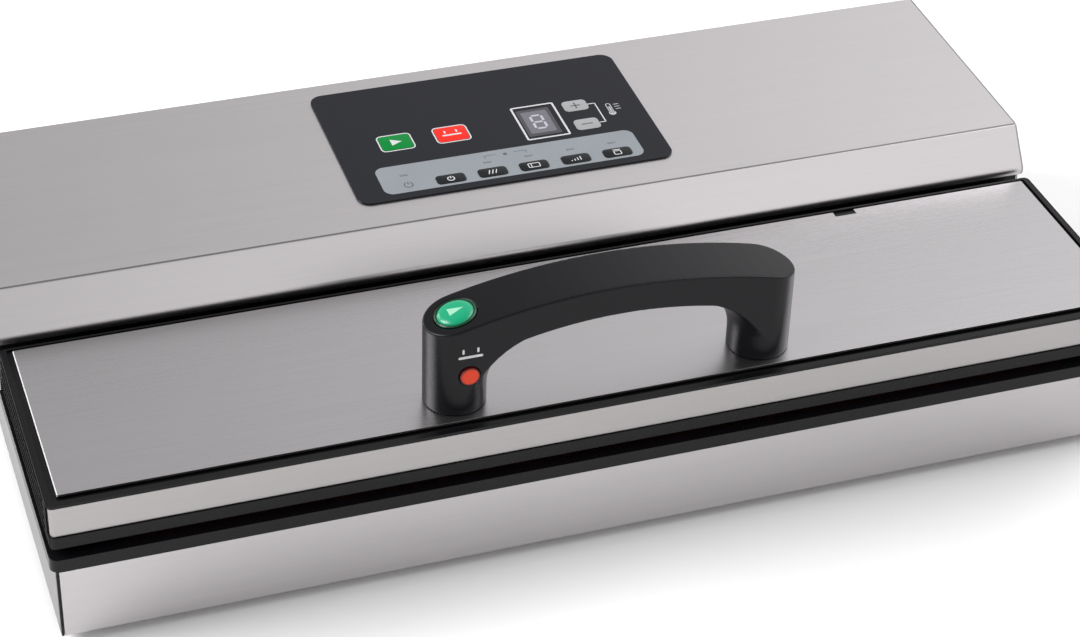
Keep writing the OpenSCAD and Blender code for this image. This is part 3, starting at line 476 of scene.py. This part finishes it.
def melted(node, name, finish, grid=0.25, rounds=45, keep=0.32):
    """Stands a copy of a CAD node whose edges all melt into each other in the node's place.

    The grid is in mm, rounds is how often it is smoothed, and keep is the share of faces kept.
    """
    shape = bmesh.new()
    shape.from_mesh(frame["nodes"][node].data)
    bmesh.ops.remove_doubles(shape, verts=shape.verts, dist=2e-6)
    made = piece(shape, name, frame["nodes"][node]["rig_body"], finish)
    cells = made.modifiers.new("even_grid", "REMESH")
    cells.mode = "VOXEL"
    cells.voxel_size = grid * MM
    settle = made.modifiers.new("melted_edges", "SMOOTH")
    settle.factor = 0.5
    settle.iterations = rounds
    fewer = made.modifiers.new("fewer_faces", "DECIMATE")
    fewer.ratio = keep
    bpy.context.view_layer.update()
    finished = bpy.data.meshes.new_from_object(
        made.evaluated_get(bpy.context.evaluated_depsgraph_get()))
    made.modifiers.clear()
    made.data = finished
    finished.shade_smooth()
    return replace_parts(made, node)


def flat_plate(shape, x, y, width, depth, radius, turn=0.0, steps=5):
    """Adds a flat rounded rectangle, in mm, and returns its faces."""
    drawn = set(shape.faces)
    place = Matrix.Translation((x, y, 0)) @ Matrix.Rotation(turn, 4, "Z")
    corners = [shape.verts.new(place @ Vector((sx * width / 2, sy * depth / 2, 0)))
               for sx, sy in ((-1, -1), (1, -1), (1, 1), (-1, 1))]
    shape.faces.new(corners)
    if radius:
        bmesh.ops.bevel(shape, geom=corners, offset=radius, offset_type="OFFSET",
                        segments=steps, profile=0.5, affect="VERTICES", material=-1)
    return [face for face in shape.faces if face not in drawn]


def outline(shape, x, y, width, depth, radius, line):
    """Adds a rounded rectangular line."""
    faces = flat_plate(shape, x, y, width, depth, radius)
    bmesh.ops.inset_region(shape, faces=faces, thickness=line, use_even_offset=True,
                           use_boundary=True)
    bmesh.ops.delete(shape, geom=faces, context="FACES")


def bar(shape, start, end, line):
    """Adds a straight stroke between two points."""
    run = Vector(end) - Vector(start)
    middle = (Vector(end) + Vector(start)) / 2
    flat_plate(shape, middle.x, middle.y, run.length + line, line, line * 0.45,
               Vector((1, 0)).angle_signed(run, 0.0) * -1, 3)


def disc(shape, x, y, radius):
    """Adds a filled round spot."""
    bmesh.ops.create_circle(shape, cap_ends=True, radius=radius, segments=32,
                            matrix=Matrix.Translation((x, y, 0)))


def ring(shape, x, y, radius, line, open_share=0.0, sides=28):
    """Adds a round stroke, open at the top by this share of its turn."""
    gap = pi * open_share
    ends = [shape.verts.new((x + reach * sin(gap), y + reach * cos(gap), 0))
            for reach in (radius - line / 2, radius + line / 2)]
    bmesh.ops.spin(shape, geom=ends + [shape.edges.new(ends)], cent=(x, y, 0), axis=(0, 0, -1),
                   angle=2 * pi - 2 * gap, steps=sides, use_merge=open_share == 0)


def triangle(shape, x, y, length, width):
    """Adds a triangle that points to +X."""
    shape.faces.new([shape.verts.new((x + length * across, y + width * up, 0))
                     for across, up in ((-0.4, -0.5), (0.6, 0), (-0.4, 0.5))])


def raise_flat(shape, height, edge=0.0):
    """Turns every flat face into a solid of that height with a rounded top edge."""
    bmesh.ops.remove_doubles(shape, verts=shape.verts, dist=1e-4)
    bmesh.ops.recalc_face_normals(shape, faces=shape.faces)
    for face in shape.faces:
        if face.normal.z < 0:
            face.normal_flip()
    made = bmesh.ops.extrude_face_region(shape, geom=list(shape.faces))
    top = [v for v in made["geom"] if isinstance(v, bmesh.types.BMVert)]
    bmesh.ops.translate(shape, verts=top, vec=(0, 0, height))
    bmesh.ops.recalc_face_normals(shape, faces=shape.faces)
    if edge:
        rims = [e for e in shape.edges
                if all(v.co.z > height * 0.5 for v in e.verts)
                and e.is_manifold and e.calc_face_angle(0) > radians(40)]
        bmesh.ops.bevel(shape, geom=rims, offset=edge, offset_type="OFFSET", segments=3,
                        profile=0.5, affect="EDGES", clamp_overlap=True, material=-1)


# ---------------------------------------------------------------- control panel

film_low, film_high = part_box("control_overlay")
FILM_PLACE = (Matrix.Translation((0, (film_low.y + film_high.y) / 2,
                                  (film_low.z + film_high.z) / 2))
              @ Matrix.Rotation(TOP_SLOPE, 4, "X") @ Matrix.Translation((0, 0, 0.4 * MM))
              @ Matrix.Scale(MM, 4))
window_rise = max((FILM_PLACE.inverted() @ vertex.co).z
                  for vertex in frame["nodes"]["display_window"].data.vertices)


def on_film(shape, name, finish, height, edge=0.0, lift=0.0):
    """Raises flat shapes drawn in mm round the panel's centre and puts them on the film."""
    raise_flat(shape, height, edge)
    bmesh.ops.transform(shape, matrix=FILM_PLACE @ Matrix.Translation((0, 0, lift)),
                        verts=shape.verts)
    return piece(shape, name, "base", finish)


# Middles of the film's keys and marks, in mm from the film's own middle
KEY_X = [-28.1, -8.8, 10.4, 30.0, 49.6]
KEY_Y = -35.5
MARK_Y = -27.4
BRACKET_Y = -22.6
POWER_MARK_X = -47.3
START_KEY = (-43.4, -1.6)
SEAL_KEY = (-17.4, -1.6)
PLUS_KEY = (43.9, 5.6)
MINUS_KEY = (44.3, -10.1)
HEAT_X = 58.6
# Middle, width, depth and corner radius
STRIP = (1.3, -29.8, 120.6, 21.0, 4.2)
SCREEN = (24.4, -2.35, 20.6, 27.2, 1.0)
# Width, depth and corner radius
LARGE_KEY = (14.4, 11.3, 1.8)
STEP_KEY = (11.6, 8.5, 2.2)
SMALL_KEY = (13.4, 6.6, 1.9)
LAMP_WINDOW = (4.0, 1.3, 0.6)
# Heights of the ink, the raised keys and the small keys
INK = 0.03
KEY_RISE = 0.22
SMALL_KEY_RISE = 0.3


def power_sign(shape, x, y, radius, line):
    """A ring that is open at the top, with a stroke in the opening."""
    ring(shape, x, y, radius, line, 0.16, 20)
    bar(shape, (x, y + radius * 0.25), (x, y + radius * 1.05), line)


def seal_sign(shape, x, y, width):
    """A seam's bar under two short strokes."""
    bar(shape, (x - width / 2, y), (x + width / 2, y), width * 0.13)
    for side in (-0.34, 0.34):
        bar(shape, (x + side * width, y + width * 0.24), (x + side * width, y + width * 0.4),
            width * 0.1)


def key_signs(shape):
    """A plain sign on each of the five small keys."""
    power_sign(shape, KEY_X[0], KEY_Y - 0.2, 1.5, 0.5)
    for step in (-1.6, 0, 1.6):
        bar(shape, (KEY_X[1] + step - 0.5, KEY_Y - 1.3), (KEY_X[1] + step + 0.5, KEY_Y + 1.3), 0.45)
    outline(shape, KEY_X[2], KEY_Y, 5.6, 3.4, 0.6, 0.45)
    bar(shape, (KEY_X[2] - 1.2, KEY_Y - 1.2), (KEY_X[2] - 1.2, KEY_Y + 1.2), 0.45)
    for step in (-2.1, -0.7, 0.7, 2.1):
        bar(shape, (KEY_X[3] + step, KEY_Y - 1.4), (KEY_X[3] + step, KEY_Y + step / 2), 0.5)
    outline(shape, KEY_X[4], KEY_Y - 0.5, 3.6, 3.2, 0.7, 0.45)
    bar(shape, (KEY_X[4] - 1.5, KEY_Y + 1.8), (KEY_X[4] + 1.5, KEY_Y + 1.8), 0.55)


def key_strip():
    """The grey strip under the small keys."""
    strip = bmesh.new()
    flat_plate(strip, *STRIP, steps=8)
    on_film(strip, "key_strip", strip_ink, INK)


def film_lines():
    """Lines round the screen and the two large keys, and the bracket of the step keys."""
    lines = bmesh.new()
    outline(lines, *SCREEN, 0.9)
    outline(lines, *START_KEY, 16.0, 12.9, 2.4, 0.6)
    outline(lines, *SEAL_KEY, 16.2, 12.9, 2.4, 0.6)
    corner_x, top, bottom = 53.2, 5.4, -10.2
    bar(lines, (49.0, top), (corner_x, top), 0.55)
    bar(lines, (corner_x, top), (corner_x, bottom), 0.55)
    bar(lines, (corner_x, bottom), (50.6, bottom), 0.55)
    on_film(lines, "panel_lines", white_ink, 0.04)


def film_keys():
    """The keys that stand out of the film."""
    for place, name, finish in ((START_KEY, "start_key", green_ink),
                                (SEAL_KEY, "seal_key", red_ink)):
        key = bmesh.new()
        flat_plate(key, *place, *LARGE_KEY, steps=6)
        on_film(key, name, finish, KEY_RISE, 0.2)
    grey, black = bmesh.new(), bmesh.new()
    for place in (PLUS_KEY, MINUS_KEY):
        flat_plate(grey, *place, *STEP_KEY, steps=6)
    on_film(grey, "step_keys", grey_ink, KEY_RISE, 0.2)
    for x in KEY_X:
        flat_plate(black, x, KEY_Y, *SMALL_KEY, steps=6)
    on_film(black, "small_keys", key_ink, SMALL_KEY_RISE, 0.26, INK)


def key_captions():
    """The signs on the keys."""
    signs, big, steps = bmesh.new(), bmesh.new(), bmesh.new()
    key_signs(signs)
    on_film(signs, "small_key_signs", white_ink, INK, lift=INK + SMALL_KEY_RISE)
    triangle(big, START_KEY[0] - 0.2, START_KEY[1] + 0.1, 5.0, 4.8)
    seal_sign(big, SEAL_KEY[0], SEAL_KEY[1] - 0.8, 8.0)
    on_film(big, "large_key_signs", white_ink, INK, lift=KEY_RISE)
    x, y = PLUS_KEY
    bar(steps, (x - 2.0, y), (x + 2.0, y), 0.75)
    bar(steps, (x, y - 2.1), (x, y + 2.1), 0.75)
    x, y = MINUS_KEY
    bar(steps, (x - 2.3, y), (x + 2.3, y), 0.75)
    on_film(steps, "step_signs", dark_ink, INK, lift=KEY_RISE)


def strip_marks():
    """The lamps over the small keys, and the signs printed on the strip and beside it."""
    marks, dark, heat = bmesh.new(), bmesh.new(), bmesh.new()
    for x in [POWER_MARK_X] + KEY_X[1:]:
        flat_plate(marks, x, MARK_Y, *LAMP_WINDOW, steps=4)
    on_film(marks, "lamp_windows", lamp_ink, 2 * INK, 0.04, INK)
    power_sign(dark, POWER_MARK_X, -35.0, 1.9, 0.55)
    for x, run in ((KEY_X[1], 5.2), (KEY_X[2], -5.2)):
        bar(dark, (x, BRACKET_Y - 2), (x, BRACKET_Y), 0.3)
        bar(dark, (min(x, x + run), BRACKET_Y), (max(x, x + run), BRACKET_Y), 0.3)
    disc(dark, 0.8, -23.2, 1.0)
    on_film(dark, "strip_signs", dark_ink, INK, lift=INK)
    outline(heat, HEAT_X, -0.6, 2.4, 8.4, 1.15, 0.45)
    disc(heat, HEAT_X, -4.4, 1.7)
    bar(heat, (HEAT_X, -3.6), (HEAT_X, 0.6), 0.8)
    for y in (-1.6, 0.3, 2.2):
        bar(heat, (HEAT_X + 2.6, y), (HEAT_X + 4.8, y), 0.45)
    on_film(heat, "heat_sign", faint_ink, INK)


def seven_segments(shape, x, y, width, height, line):
    """The seven bars of a display digit."""
    half, side = width / 2, height / 4
    for step in (-height / 2, 0, height / 2):
        bar(shape, (x - half + line, y + step), (x + half - line, y + step), line)
    for sign in (-1, 1):
        for step in (-side, side):
            bar(shape, (x + sign * half, y + step - side + line),
                (x + sign * half, y + step + side - line), line)


def display():
    """The lit face and its digit, just above the window's glass."""
    window_low, window_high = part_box("display_window")
    x = (window_low.x + window_high.x) / 2 / MM
    y = ((window_low.y + window_high.y) - (film_low.y + film_high.y)) / 2 / MM
    face, digit = bmesh.new(), bmesh.new()
    flat_plate(face, x, y, 12.2, 17.6, 0.8)
    seven_segments(digit, x, y, 5.2, 10.4, 1.15)
    for shape, name, lift, finish in ((face, "display_face", 0.0, face_ink),
                                      (digit, "display_digit", INK, digit_ink)):
        raise_flat(shape, INK)
        place = FILM_PLACE @ Matrix.Translation((0, 0, window_rise + lift))
        bmesh.ops.transform(shape, matrix=place, verts=shape.verts)
        piece(shape, name, "base", finish)


# ---------------------------------------------------------------- lid


def pushed_along(name):
    """The way a button stands out of its seat."""
    joint = next(j for j in frame["joints"] if j["name"] == name)
    return -Vector(joint["axis"]).normalized()


def facing(point, out):
    """A place in mm on a face that looks along out, with X to the right and Y up the face."""
    right = (Vector((1, 0, 0)) - out * out.x).normalized()
    turn = Matrix((right, out.cross(right), out)).transposed().to_4x4()
    return Matrix.Translation(point) @ turn @ Matrix.Scale(MM, 4)


def turned_cap(name, node, place, section, finish):
    """Spins a section of (radius, height) points into a round cap that rides with the node."""
    shape = bmesh.new()
    points = [shape.verts.new((radius, 0, height)) for radius, height in section]
    lines = [shape.edges.new(pair) for pair in zip(points, points[1:])]
    bmesh.ops.spin(shape, geom=points + lines, cent=(0, 0, 0), axis=(0, 0, 1), angle=2 * pi,
                   steps=64, use_merge=True)
    bmesh.ops.remove_doubles(shape, verts=shape.verts, dist=1e-4)
    bmesh.ops.recalc_face_normals(shape, faces=shape.faces)
    bmesh.ops.transform(shape, matrix=place, verts=shape.verts)
    made = piece(shape, name, frame["nodes"][node]["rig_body"], finish, 50)
    return made


def on_face(shape, name, place, height, body, finish):
    """Raises flat shapes drawn in mm on a face."""
    raise_flat(shape, height)
    bmesh.ops.transform(shape, matrix=place, verts=shape.verts)
    return piece(shape, name, body, finish)


def seat(node, out, proud):
    """The point of the handle's skin under a button's middle; proud is the button's height."""
    corners = [vertex.co.copy() for vertex in frame["nodes"][node].data.vertices]
    top = max(corner.dot(out) for corner in corners)
    face = [corner for corner in corners if corner.dot(out) > top - 0.05 * MM]
    return sum(face, Vector()) / len(face) - out * proud * MM


# Sections of the buttons' round pieces: radius and height over the handle's skin, in mm
START_CAP = ((0, 1.5), (3.8, 1.48), (5.4, 1.3), (6.6, 0.96), (7.3, 0.5), (7.7, -0.1),
             (7.7, -2.6), (2, -2.6), (2, -6.3), (0, -6.3))
START_RIM = ((7.72, -0.1), (7.85, 0.3), (8.3, 0.42), (8.7, 0.1), (8.7, -2.4), (7.72, -2.4),
             (7.72, -0.1))
SEAL_CAP = ((0, 0.95), (1.8, 0.92), (2.9, 0.86), (3.45, 0.76), (3.6, 0.6), (3.6, 0.3), (0, 0.3))
# How far the plain buttons stand out of the skin
START_PROUD = 1.3
SEAL_PROUD = 0.7


def start_button():
    """The domed start button with its dark green rim and its sign; the rim is partly its own dark
    green and partly painted shade of the gap round the cap.
    """
    out = pushed_along("start_press")
    place = facing(seat("start_button", out, START_PROUD), out)
    cap = turned_cap("start_cap", "start_button", place, START_CAP, finishes["start_green"])
    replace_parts(cap, "start_button")
    turned_cap("start_rim", "start_button", place, START_RIM, rim_green_and_gap_shade)
    sign = bmesh.new()
    triangle(sign, 0, 0.1, 6.4, 4.6)
    on_face(sign, "start_sign", place @ Matrix.Translation((0, 0, 1.48)), 0.05,
            frame["nodes"]["start_button"]["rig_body"], cap_ink)


def seal_button():
    """The small seal button with its rim, and the sign beside it on the handle."""
    out = pushed_along("seal_press")
    place = facing(seat("seal_button", out, SEAL_PROUD), out)
    softened("seal_button", 0.3, finish=rim_red, name="seal_rim")
    turned_cap("seal_cap", "seal_button", place, SEAL_CAP, finishes["seal_red"])
    sign = bmesh.new()
    seal_sign(sign, 0.3, 9.4, 9.0)
    on_face(sign, "seal_sign", place, 0.04, "lid", white_ink)


def off_the_ridges(middle):
    """Whether an edge of the lid's frame isn't one of the fine ridges on its ends."""
    near = 0.5 * MM
    return (abs(middle.x) < lid_high.x - near
            or not lid_low.z + near <= middle.z <= lid_high.z - near)


def shell_and_lid():
    """Rounds the edges of the pieces that show, each by its own size in mm."""
    softened("lid_frame", 0.4, finish=frame_skin, chosen=off_the_ridges)
    for node, edge in (("base_deck", 0.5), ("corner_trims", 0.2), ("feet", 0.5),
                       ("control_overlay", 0.15), ("display_window", 0.1),
                       ("hinge_bracket_left", 0.3), ("hinge_bracket_right", 0.3)):
        softened(node, edge)
    melted("handle", "grip_handle", finishes["handle_plastic"])
    softened("rear_cover", 0.35, 3, 26, finish=cover_sheet)
    softened("rear_panel", 0.25, finish=back_sheet)
    softened("lid_panel", 0.22, finish=lid_sheet)
    softened("lid_band", 0.3, finish=front_sheet)
    softened("base_front_panel", 0.3, finish=lit_base_sheet)
    softened("base_side_left", 0.3, finish=shaded_end_sheet)
    softened("base_side_right", 0.3, finish=shaded_end_sheet)


# ---------------------------------------------------------------- studio

CAMERA_PLACE = (-0.3344, -0.9404, 0.7437)
CAMERA_TURNS = (-19.82, 54.47, 1.91)
CAMERA_LENS = 91.78
# Name, place, target, size in metres, power in watts
SOFTBOXES = (
    ("left_softbox", (-1.6, 0.5, 1.3), (-0.07, -0.1, 0.07), 1.1, 42),
    ("right_softbox", (1.7, 0.1, 1.5), (0, 0, 0), 1.8, 30),
    ("front_softbox", (0.6, -2.1, 1.1), (0, 0, 0.07), 1.0, 1.2),
    ("rim_softbox", (-1.3, 2.0, 0.7), (-0.2, 0, 0.07), 0.6, 8),
)


def room_light():
    """A soft room that is brighter towards the right of the object than towards its left."""
    world = bpy.data.worlds.new("studio_room")
    world.use_nodes = True
    nodes, links = world.node_tree.nodes, world.node_tree.links
    place = nodes.new("ShaderNodeTexCoord")
    split = nodes.new("ShaderNodeSeparateXYZ")
    links.new(place.outputs["Generated"], split.inputs[0])
    total, dimmed, faded = (nodes.new("ShaderNodeMath") for _ in range(3))
    dimmed.operation = faded.operation = "MULTIPLY"
    for axis, socket, reach in (("X", total.inputs[0], (0.02, 0.45, 0.46, 1.02)),
                                ("Y", total.inputs[1], (-0.3, -0.8, 0.0, 0.08)),
                                ("Z", dimmed.inputs[0], (0.76, 0.96, 1.0, 0.48)),
                                ("X", faded.inputs[0], (0.62, 0.9, 1.0, 0.5))):
        ramp = nodes.new("ShaderNodeMapRange")
        for name, value in zip(("From Min", "From Max", "To Min", "To Max"), reach):
            ramp.inputs[name].default_value = value
        links.new(split.outputs[axis], ramp.inputs["Value"])
        links.new(ramp.outputs["Result"], socket)
    links.new(total.outputs[0], dimmed.inputs[1])
    links.new(dimmed.outputs[0], faded.inputs[1])
    links.new(faded.outputs[0], nodes["Background"].inputs["Strength"])
    nodes["Background"].inputs["Color"].default_value = (1.0, 0.99, 0.995, 1)
    bpy.context.scene.world = world


def studio():
    """Pale floor and soft light from all round."""
    shape = bmesh.new()
    bmesh.ops.create_grid(shape, x_segments=1, y_segments=1, size=6.0)
    mesh = bpy.data.meshes.new("studio_floor")
    shape.to_mesh(mesh)
    shape.free()
    floor = bpy.data.objects.new("studio_floor", mesh)
    bpy.context.scene.collection.objects.link(floor)
    paper = Finish("floor_paper", Roughness=0.9, Specular_IOR_Level=0.1)
    paper.surface(Base_Color=paper.mix(paper.cloud(0.5), shade((1, 1, 1), 0.96),
                                       shade((1, 1, 1), 0.98)))
    mesh.materials.append(paper.material)
    room_light()
    for softbox in SOFTBOXES:
        lamp(*softbox)


def lamp(name, place, target, size, power):
    """Adds a square soft light that looks at the target."""
    light = bpy.data.lights.new(name, "AREA")
    light.shape = "SQUARE"
    light.size = size
    light.energy = power
    made = bpy.data.objects.new(name, light)
    made.location = place
    made.rotation_euler = (Vector(target) - Vector(place)).to_track_quat("-Z", "Y").to_euler()
    bpy.context.scene.collection.objects.link(made)


def camera():
    """The camera, turned about Z, then tipped back from straight down, then rolled."""
    lens = bpy.data.cameras.new("studio_camera")
    lens.lens = CAMERA_LENS
    lens.sensor_width = 36.0
    lens.clip_start = 0.05
    lens.clip_end = 30.0
    made = bpy.data.objects.new("studio_camera", lens)
    turn, tip, roll = (radians(angle) for angle in CAMERA_TURNS)
    made.matrix_world = (Matrix.Translation(CAMERA_PLACE) @ Matrix.Rotation(turn, 4, "Z")
                         @ Matrix.Rotation(tip, 4, "X") @ Matrix.Rotation(roll, 4, "Z"))
    bpy.context.scene.collection.objects.link(made)
    bpy.context.scene.camera = made
    bpy.context.scene.view_settings.view_transform = "Standard"


camera()
studio()
dress_nodes()
shell_and_lid()
key_strip()
film_lines()
film_keys()
key_captions()
strip_marks()
display()
start_button()
seal_button()
